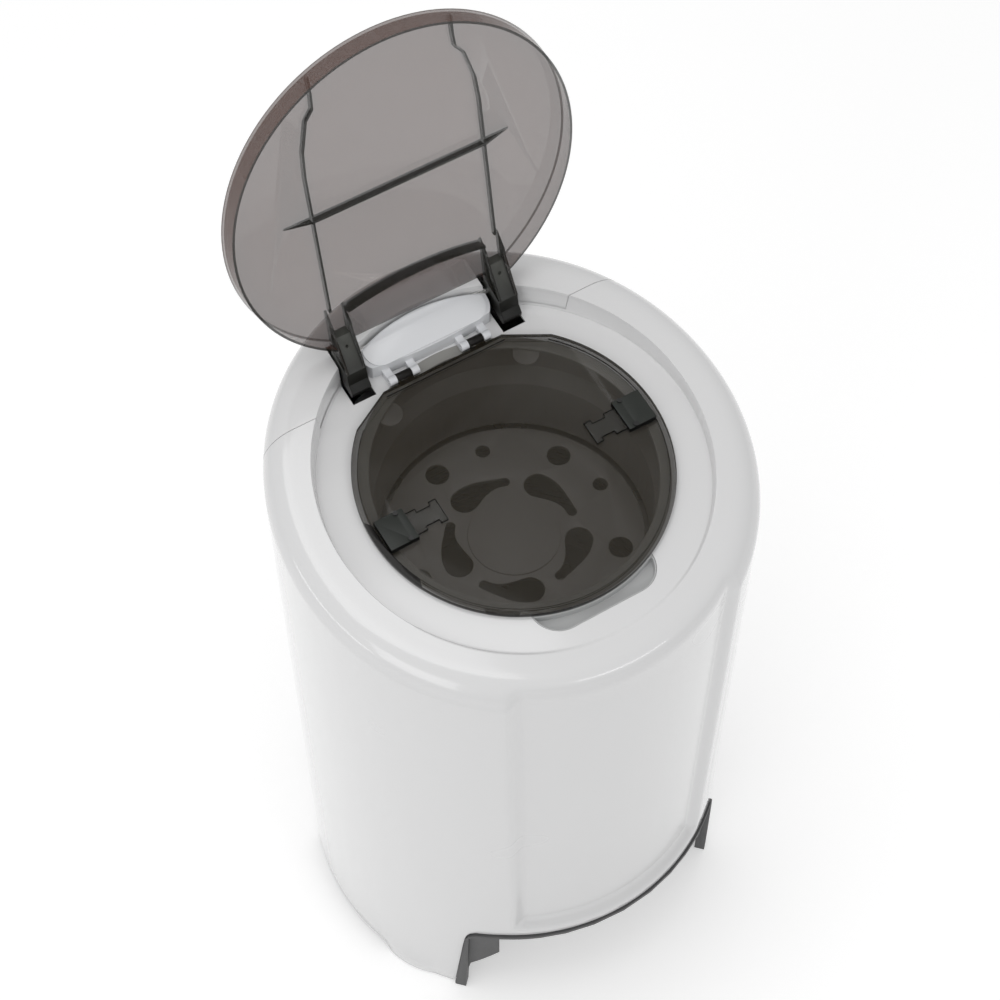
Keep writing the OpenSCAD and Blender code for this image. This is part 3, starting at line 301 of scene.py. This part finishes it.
def cut(bm, *tools, how="DIFFERENCE"):
    """Cuts a closed bmesh with closed tool bmeshes and returns the result."""
    work = bpy.data.objects.new("work", bpy.data.meshes.new("work"))
    bm.to_mesh(work.data)
    bm.free()
    scene.collection.objects.link(work)
    helpers = []
    for tool in tools:
        helper = bpy.data.objects.new("tool", bpy.data.meshes.new("tool"))
        tool.to_mesh(helper.data)
        tool.free()
        scene.collection.objects.link(helper)
        helpers.append(helper)
        mod = work.modifiers.new("cut", "BOOLEAN")
        mod.operation = how
        mod.solver = "MANIFOLD"
        mod.object = helper
    applied(work)
    out = bmesh.new()
    out.from_mesh(work.data)
    for obj in [work, *helpers]:
        mesh = obj.data
        bpy.data.objects.remove(obj)
        bpy.data.meshes.remove(mesh)
    return out


def block(low, high):
    """A closed box between two corners, in millimetres."""
    bm = bmesh.new()
    bmesh.ops.create_cube(bm, size=1)
    size = Vector(high) - Vector(low)
    bmesh.ops.scale(bm, vec=size * MM, verts=bm.verts)
    bmesh.ops.translate(bm, vec=(Vector(low) + size / 2) * MM, verts=bm.verts)
    return bm


def prism(outline, z0, z1):
    """A closed prism over a flat outline in X and Y, in millimetres."""
    bm = bmesh.new()
    verts = [bm.verts.new((x * MM, y * MM, z0 * MM)) for x, y in outline]
    face = bm.faces.new(verts)
    grown = bmesh.ops.extrude_face_region(bm, geom=[face])
    top = [v for v in grown["geom"] if isinstance(v, bmesh.types.BMVert)]
    bmesh.ops.translate(bm, vec=(0, 0, (z1 - z0) * MM), verts=top)
    bmesh.ops.recalc_face_normals(bm, faces=bm.faces)
    return bm


def arc(cx, cy, r, start, end, steps):
    """Points along an arc; the angles are in degrees from +X."""
    angles = [math.radians(start + (end - start) * i / steps) for i in range(steps + 1)]
    return [(cx + r * math.cos(a), cy + r * math.sin(a)) for a in angles]


def tilt(bm):
    """Puts a piece built on the flat onto the sloping collar plane."""
    turn = Matrix.Translation((0, 0, COLLAR_H * MM)) @ Matrix.Rotation(math.radians(COLLAR_TILT), 4, "X")
    bmesh.ops.transform(bm, matrix=turn, verts=bm.verts)
    return bm


def bevel_sharp(bm, width, segments=2, angle=28.0):
    """Rounds the sharp edges of a piece; the width is in millimetres."""
    edges = [
        e for e in bm.edges
        if len(e.link_faces) == 2 and e.calc_face_angle(0.0) > math.radians(angle)
    ]
    bmesh.ops.bevel(bm, geom=edges, offset=width * MM, offset_type="OFFSET", affect="EDGES",
                    segments=segments, profile=0.5, material=-1, clamp_overlap=True)
    return bm


def clean_copy(node):
    """A node's own shape with its doubles and flat seams merged."""
    bm = bmesh.new()
    bm.from_mesh(nodes[node].data)
    bmesh.ops.remove_doubles(bm, verts=bm.verts, dist=0.000002)
    bmesh.ops.dissolve_limit(bm, angle_limit=math.radians(0.6), verts=bm.verts, edges=bm.edges)
    return bm


def refined(node, mat, width, segments=2, group=None):
    """A node's own shape with its sharp edges rounded; group gives each face its material's number."""
    bm = bevel_sharp(clean_copy(node), width, segments)
    if group:
        for face in bm.faces:
            face.material_index = group(face.calc_center_median() / MM, face.normal)
    return piece_from(bm, node + "_finished", mat, nodes[node]["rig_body"], (node,))


# ---- cabinet ----
def clamp01(u):
    return max(0.0, min(1.0, u))


def smooth(u):
    u = clamp01(u)
    return u * u * (3 - 2 * u)


def slope(angle):
    return math.tan(math.radians(angle))


def cosine(angle):
    return math.cos(math.radians(angle))


def sine(angle):
    return math.sin(math.radians(angle))


def from_front(t):
    """How far an angle lies from the front, on either side, in degrees."""
    return 360 - t if t > 180 else t


def ring_z(y):
    return RING_H + y * slope(RING_TILT)


def collar_z(y):
    return COLLAR_H + y * slope(COLLAR_TILT)


def edge_z(t):
    """Height of the wall's lower edge."""
    side = from_front(t)
    for (t0, z0), (t1, z1) in zip(EDGE_LINE, EDGE_LINE[1:]):
        if side <= t1:
            return z0 + (z1 - z0) * (side - t0) / (t1 - t0)
    return EDGE_LINE[-1][1]


STRAIGHT_H = RING_H - EDGE_R


def plain_r(t, z):
    """Radius of the wall without its recess and flares."""
    back = cosine(t)
    bulge = REAR_BULGE * back * back if back < 0 else 0.0
    return FLOOR_R + (SHOULDER_R - FLOOR_R) * min(1.0, z / STRAIGHT_H) + bulge


def recess(t, z):
    """Depth of the shallow front recess."""
    side = from_front(t)
    rise = (z - RECESS_Z) / (RECESS_TOP_Z - RECESS_Z)
    half = RECESS_FOOT_DEG + (RECESS_TOP_DEG - RECESS_FOOT_DEG) * rise
    sides = smooth((half + RECESS_OUT_DEG - side) / RECESS_SIDE_DEG)
    return RECESS_DEPTH * smooth((z - RECESS_Z) / RECESS_STEP) * sides


def wall_r(t, z):
    """Radius of the outer wall, with the recess and the front legs' flare."""
    side = from_front(t)
    bump = max(0.0, 1 - ((side - FLARE_MIDDLE) / FLARE_DEG) ** 2)
    flare = LEG_FLARE * clamp01(1 - z / FLARE_H) ** 2 * bump
    return plain_r(t, z) + flare - recess(t, z)


def shoulder_z(t):
    """Height at which the wall turns into the rounded shoulder."""
    return ring_z(-plain_r(t, STRAIGHT_H) * cosine(t)) - EDGE_R


def edge_point(t, a, inset):
    """A point on the rounded shoulder, a from 0 at the wall to 90 degrees at the ring."""
    fade = 1 - smooth(a / RECESS_FADE_DEG)
    full = plain_r(t, STRAIGHT_H) - fade * recess(t, shoulder_z(t))
    r = full - EDGE_R + (EDGE_R - inset) * cosine(a)
    z = ring_z(-r * cosine(t)) - EDGE_R + (EDGE_R - inset) * sine(a)
    return r, z


def step_point(t, u, inset):
    """A point on the step from the ring down to the collar, u from 0 to 1."""
    r = STEP_R + STEP_OUT - STEP_RUN * u
    y = -(r + inset) * cosine(t)
    drop = max(0.0, ring_z(y) - collar_z(y))
    share = 1 - smooth((u - STEP_FLAT) / STEP_FALL)
    return r + inset, collar_z(y) + share * drop - inset


LOW_ROWS = (0.12, 0.25, 0.4, 0.55, 0.7, 0.85, 1.0)
RECESS_ROWS = (3, 6, 9, 12, 16, 20)
HIGH_ROWS = (250, 350, 450, 550, 620)
SHOULDER_DROPS = (20, 8, 0)
SHOULDER_DEGS = tuple(range(6, 91, 6))
RING_SHARES = (0.33, 0.66)
STEP_SHARES = (0, 0.15, 0.25, 0.35, 0.45, 0.55, 0.65, 0.75, 0.85, 1)
# the collar row that bounds the grey painted shade under the inner lid's rim
SEAT_SHADE_R = 149.0
SEAT_SHADE_DROP = 30
COLLAR_ROWS = (178, 165, SEAT_SHADE_R, 142)
LIP_R = 1.4
LIP_CUT = LIP_R * 0.3


def half_column(t, inset):
    """Radius and height of each row of the outer or the inner skin, from the lower edge to the mouth."""
    foot = edge_z(t)
    rows = [(wall_r(t, foot) - inset, foot)]
    if inset == 0:
        rows = [(wall_r(t, foot) - LIP_R, foot), (wall_r(t, foot) - LIP_CUT, foot + LIP_CUT),
                (wall_r(t, foot + LIP_R), foot + LIP_R)]
    rows += [(wall_r(t, z) - inset, z) for z in (foot + (RECESS_Z - foot) * k for k in LOW_ROWS)]
    rows += [(wall_r(t, RECESS_Z + d) - inset, RECESS_Z + d) for d in RECESS_ROWS]
    rows += [(wall_r(t, z) - inset, z) for z in HIGH_ROWS]
    rows += [(wall_r(t, shoulder_z(t) - d) - inset, shoulder_z(t) - d) for d in SHOULDER_DROPS]
    rows += [edge_point(t, a, inset) for a in SHOULDER_DEGS]
    ring_start = rows[-1][0]
    for share in RING_SHARES:
        r = ring_start + (STEP_R + STEP_OUT + inset - ring_start) * share
        rows.append((r, ring_z(-r * cosine(t)) - inset))
    rows += [step_point(t, u, inset) for u in STEP_SHARES]
    for r in COLLAR_ROWS:
        rows.append((r, collar_z(-r * cosine(t)) - inset))
    lip = collar_z(-MOUTH_R * cosine(t))
    if inset == 0:
        rows += [(MOUTH_R + LIP_R, lip), (MOUTH_R + LIP_CUT, lip - LIP_CUT), (MOUTH_R, lip - LIP_R)]
    else:
        rows.append((MOUTH_R, lip - inset))
    return rows


def column(t):
    """The whole section at one angle: along the outer skin and back along the inner one."""
    return half_column(t, 0) + half_column(t, WALL_T)[::-1]


def whole_skin(steps=720):
    """The cabinet's moulding as one closed skin: a spun loop, whose rows then take their true shape."""
    bm = bmesh.new()
    count = len(column(0))
    loop = [bm.verts.new((0, -1, i)) for i in range(count)]
    edges = [bm.edges.new((loop[i], loop[(i + 1) % count])) for i in range(count)]
    bmesh.ops.spin(bm, geom=loop + edges, cent=(0, 0, 0), axis=(0, 0, 1), dvec=(0, 0, 0),
                   angle=2 * math.pi, steps=steps, use_merge=True, use_duplicate=False)
    columns = {}
    for v in bm.verts:
        step = round(math.degrees(math.atan2(v.co.x, -v.co.y)) * steps / 360) % steps
        t = step * 360 / steps
        if step not in columns:
            columns[step] = column(t)
        r, z = columns[step][round(v.co.z)]
        v.co = Vector((r * sine(t), -r * cosine(t), z)) * MM
    bmesh.ops.recalc_face_normals(bm, faces=bm.faces)
    return bm


def cover_tool(gap):
    """The block behind the seam and outside the collar, which parts the rear cover from the shell."""
    inner = STEP_R - COVER_LAP + gap
    y = SEAM_Y + gap
    turn = math.degrees(math.asin(y / inner))
    outline = arc(0, 0, inner, turn, 180 - turn, 120)
    outline += [(-COVER_REACH, y), (-COVER_REACH, COVER_REACH)]
    outline += [(COVER_REACH, COVER_REACH), (COVER_REACH, y)]
    return prism(outline, SEAM_Z + gap, SEAM_Z + ABOVE_ALL)


def cup_tool():
    """The finger cup's outline, cut out of the collar."""
    left = arc(-CUP_HALF + CUP_CORNER, -CUP_Y + CUP_CORNER, CUP_CORNER, 180, 270, 12)
    right = arc(CUP_HALF - CUP_CORNER, -CUP_Y + CUP_CORNER, CUP_CORNER, 270, 360, 12)
    side = math.degrees(math.asin(CUP_HALF / CUP_IN_R))
    inner = arc(0, 0, CUP_IN_R, -90 + side, -90 - side, 40)
    return tilt(prism(left + right + inner, -CUP_DEEP, CUP_DEEP))


def slot_tools():
    """The two slots that the lid's arms go down through."""
    return [
        block((min(s * SLOT_IN, s * SLOT_OUT), SLOT_FRONT, SEAM_Z - SLOT_DROP),
              (max(s * SLOT_IN, s * SLOT_OUT), SLOT_BACK, SEAM_Z + ABOVE_ALL))
        for s in (-1, 1)
    ]


def gland_tool():
    """The round hole in the rear wall for the cord gland."""
    bm = bmesh.new()
    bmesh.ops.create_cone(bm, cap_ends=True, segments=64, radius1=GLAND_R * MM, radius2=GLAND_R * MM,
                          depth=GLAND_LONG * MM)
    bmesh.ops.rotate(bm, cent=(0, 0, 0), matrix=Matrix.Rotation(math.radians(90), 3, "X"), verts=bm.verts)
    bmesh.ops.translate(bm, vec=(0, plain_r(180, GLAND_Z) * MM, GLAND_Z * MM), verts=bm.verts)
    return bm


def make_cabinet():
    """The white moulding, with the seat under the inner lid's rim coloured grey as painted shade, and the
    rear cover.
    """
    shell = cut(whole_skin(), cover_tool(-SEAM_GAP), cup_tool(), gland_tool(), *slot_tools())
    for face in shell.faces:
        spot = face.calc_center_median() / MM
        # faces inside this radius near the top take the grey painted shade
        face.material_index = int(math.hypot(spot.x, spot.y) < SEAT_SHADE_R and spot.z > SEAM_Z - SEAT_SHADE_DROP)
    piece_from(shell, "cabinet_moulding", (white_gloss, seat_painted_shade_grey), "cabinet",
               ("cabinet_shell", "sunk_collar"), 35)
    cover = cut(whole_skin(), cover_tool(SEAM_GAP), how="INTERSECT")
    cover = cut(cover, *slot_tools())
    piece_from(cover, "rear_cover_moulding", white_cover, "cabinet",
               ("rear_hinge_cover",), 35)


make_cabinet()

# ---- the open outer lid ----
PIVOT = (176.0, 751.957)
LID_MID = (32.3622, 175.558)
LID_LEAN = math.radians(9.2)
LID_R = 178.5
LID_T = 2.5
LID_RIM_H = 20.0
LID_INSIDE = LID_R - LID_T - 3
LID_CORNER_R = 2.0


def in_lid(point):
    """A point's place in the open lid, in millimetres: along the plate, off it, out from its middle."""
    y = point[1] - PIVOT[0] - LID_MID[0]
    z = point[2] - PIVOT[1] - LID_MID[1]
    along = y * math.sin(LID_LEAN) + z * math.cos(LID_LEAN)
    off = -y * math.cos(LID_LEAN) + z * math.sin(LID_LEAN)
    return along, off, math.hypot(point[0], along)


def lid_group(centre, normal):
    """0 for the plate and the rim's wall, 1 for the rim's corner and edge, 2 for ribs and pocket."""
    along, off, far = in_lid(centre)
    slant = abs(-normal.y * math.cos(LID_LEAN) + normal.z * math.sin(LID_LEAN))
    rounded = off < LID_CORNER_R and 0.1 < slant < 0.995
    if far > LID_INSIDE and (rounded or off > LID_RIM_H - 1.2):
        return 1
    if far > LID_INSIDE and along > -0.5 * LID_R:
        return 0
    return 2 if off > LID_T + 0.2 and far < LID_INSIDE or far > LID_R + 2 else 0


def make_outer_lid():
    """The smoked lid, with the corner between plate and rim rounded wide and the other edges fine."""
    bm = clean_copy("outer_lid")
    corner = []
    for edge in bm.edges:
        spots = [in_lid(v.co / MM) for v in edge.verts]
        if all(abs(off) < 0.05 and abs(far - LID_R) < 0.5 for along, off, far in spots):
            corner.append(edge)
    bmesh.ops.bevel(bm, geom=corner, offset=LID_CORNER_R * MM, offset_type="OFFSET", affect="EDGES",
                    segments=5, profile=0.5, material=-1, clamp_overlap=True)
    bevel_sharp(bm, 0.4)
    for face in bm.faces:
        face.material_index = lid_group(face.calc_center_median() / MM, face.normal)
    piece_from(bm, "outer_lid_finished", (lid_plate, lid_rim, lid_rib), "outer_lid",
               ("outer_lid",))


make_outer_lid()


# ---- pieces that keep the solid's shape, with rounded edges ----
INNER_R = 154.0
INNER_Y = 1.5
INNER_RIM_W = 6.0
INNER_CHORD = 134.0
RIM_PAST = 0.6


def inner_group(centre, normal):
    """1 for the inner lid's thick rim and hinge tabs, else 0."""
    along = centre[1] / math.cos(math.radians(COLLAR_TILT))
    rim = INNER_RIM_W + RIM_PAST
    return int(math.hypot(centre[0], along - INNER_Y) > INNER_R - rim or along > INNER_CHORD - rim)


def side_group(centre, normal):
    """0 for faces that lie along the collar, 1 for the sides and rounded edges between them."""
    tipped = math.radians(COLLAR_TILT)
    return int(abs(normal.z * math.cos(tipped) - normal.y * math.sin(tipped)) < 0.98)


refined("hinge_console", console_white, 1.6, 3)
refined("console_plate", plate_white, 0.5, 3)
# the finger cup's grey is painted shade
refined("finger_cup", cup_painted_shade_grey, 0.8, 3)
refined("collar_funnel", grey_moulding, 0.5)
refined("base_frame", charcoal, 0.8)
refined("rubber_feet", foot_rubber, 0.8)
refined("cord_gland", foot_rubber, 0.6)
refined("drain_spout", grey_moulding, 0.4)
for side in ("left", "right"):
    refined(side + "_lid_arm", arm_black_painted_sheen, 3.0, 4)
refined("inner_lid", (inner_plate, inner_rim), 0.5, 2, inner_group)
# the latch housing's sides take the near-black painted shade
refined("latch_housings", (latch_dark, latch_side_painted_shade), 0.8, 3, side_group)
for side in ("left", "right"):
    refined(side + "_latch_slider", (slider_clear, slider_edge), 0.4, 2, side_group)
refined("press_disc", disc_grey, 0.6)

KEPT = {
    "lid_pivot_pins": bright_steel, "lid_arm_screws": bright_steel, "inner_hinge_pins": bright_steel,
    "latch_screws": screw_dark, "outer_tub": tub_grey, "tub_columns": painted_steel,
    "shaft_seal": foot_rubber, "basket": stainless, "basket_hub": cast_alloy, "hub_nut": bright_steel,
    "drive_shaft": bright_steel, "upper_bearing": bright_steel, "lower_bearing": bright_steel,
    "motor_stator": stator_steel, "motor_rotor": bright_steel, "upper_end_bell": cast_alloy,
    "lower_end_bell": cast_alloy, "motor_plate": painted_steel, "rubber_dampers": foot_rubber,
    "damper_studs": bright_steel, "brake_disc": bright_steel, "brake_lever": painted_steel,
    "brake_shoe": foot_rubber, "brake_bracket": painted_steel, "brake_pin": bright_steel,
    "brake_rod": bright_steel, "rod_guide": painted_steel, "interlock_switch": charcoal,
    "start_capacitor": can_alloy, "capacitor_clip": painted_steel,
}
for node, mat in KEPT.items():
    mesh = nodes[node].data
    mesh.materials.clear()
    mesh.materials.append(mat)


# ---- floor, light and camera ----
def shown_white(name, colour, glow):
    """A pale matt surface that the camera and reflections see a little brighter, so it ends in white."""
    mat = bpy.data.materials.new(name)
    mat.use_nodes = True
    tree = mat.node_tree
    tree.nodes.clear()
    out = tree.nodes.new("ShaderNodeOutputMaterial")
    matt = tree.nodes.new("ShaderNodeBsdfDiffuse")
    matt.inputs["Color"].default_value = (*colour, 1)
    light = tree.nodes.new("ShaderNodeEmission")
    seen = seen_directly(tree)
    strength = tree.nodes.new("ShaderNodeMath")
    strength.operation = "MULTIPLY"
    strength.inputs[1].default_value = glow
    tree.links.new(seen, strength.inputs[0])
    tree.links.new(strength.outputs["Value"], light.inputs["Strength"])
    both = tree.nodes.new("ShaderNodeAddShader")
    tree.links.new(matt.outputs["BSDF"], both.inputs[0])
    tree.links.new(light.outputs["Emission"], both.inputs[1])
    tree.links.new(both.outputs["Shader"], out.inputs["Surface"])
    return mat


def seen_directly(tree):
    """1 for rays from the camera, through glass or off a mirror, else 0."""
    path = tree.nodes.new("ShaderNodeLightPath")
    first = tree.nodes.new("ShaderNodeMath")
    first.operation = "MAXIMUM"
    second = tree.nodes.new("ShaderNodeMath")
    second.operation = "MAXIMUM"
    tree.links.new(path.outputs["Is Camera Ray"], first.inputs[0])
    tree.links.new(path.outputs["Is Transmission Ray"], first.inputs[1])
    tree.links.new(first.outputs["Value"], second.inputs[0])
    tree.links.new(path.outputs["Is Glossy Ray"], second.inputs[1])
    return second.outputs["Value"]


def make_floor():
    bm = bmesh.new()
    bmesh.ops.create_grid(bm, x_segments=1, y_segments=1, size=12)
    mesh = bpy.data.meshes.new("studio_floor")
    bm.to_mesh(mesh)
    bm.free()
    mesh.materials.append(shown_white("floor_white", (0.80, 0.80, 0.80), 0.38))
    floor = bpy.data.objects.new("studio_floor", mesh)
    scene.collection.objects.link(floor)


def make_world():
    world = bpy.data.worlds.new("studio")
    world.use_nodes = True
    tree = world.node_tree
    back = tree.nodes["Background"]
    back.inputs["Color"].default_value = (1, 1, 1, 1)
    strength = tree.nodes.new("ShaderNodeMapRange")
    strength.inputs["To Min"].default_value = 0.62
    strength.inputs["To Max"].default_value = 1.0
    path = tree.nodes.new("ShaderNodeLightPath")
    tree.links.new(path.outputs["Is Camera Ray"], strength.inputs["Value"])
    tree.links.new(strength.outputs["Result"], back.inputs["Strength"])
    scene.world = world


def area_light(name, place, aim, size, power):
    data = bpy.data.lights.new(name, "AREA")
    data.shape = "RECTANGLE"
    data.size, data.size_y = size
    data.energy = power
    lamp = bpy.data.objects.new(name, data)
    lamp.location = place
    lamp.rotation_euler = (Vector(aim) - Vector(place)).to_track_quat("-Z", "Y").to_euler()
    scene.collection.objects.link(lamp)


VIEW_AZIMUTH = math.radians(-31.3)
VIEW_ELEVATION = math.radians(56.9)
VIEW_DISTANCE = 2.305
VIEW_TARGET = Vector((-0.0164, 0.0, 0.6813))
FOCAL_PX = 2410.1


def make_camera():
    data = bpy.data.cameras.new("camera")
    data.sensor_width = 36
    data.lens = FOCAL_PX / 1000 * data.sensor_width
    camera = bpy.data.objects.new("camera", data)
    back = Vector((math.sin(VIEW_AZIMUTH) * math.cos(VIEW_ELEVATION),
                   -math.cos(VIEW_AZIMUTH) * math.cos(VIEW_ELEVATION), math.sin(VIEW_ELEVATION)))
    camera.location = VIEW_TARGET + back * VIEW_DISTANCE
    camera.rotation_mode = "QUATERNION"
    camera.rotation_quaternion = (-back).to_track_quat("-Z", "Y")
    scene.collection.objects.link(camera)
    scene.camera = camera


make_floor()
make_world()
area_light("front_softbox", (0.6, -2.5, 2.3), (0, 0, 0.5), (1.5, 0.3), 6)
area_light("top_softbox", (-0.4, 0.2, 3.2), (0, 0, 0.5), (1.8, 1.8), 17.5)
area_light("left_softbox", (-2.6, -1.6, 2.0), (0, 0, 0.4), (1.6, 1.4), 12)
area_light("left_strip", (-2.9, 0.2, 1.0), (0, 0, 0.7), (2.0, 0.16), 4)
make_camera()
scene.view_settings.view_transform = "Standard"
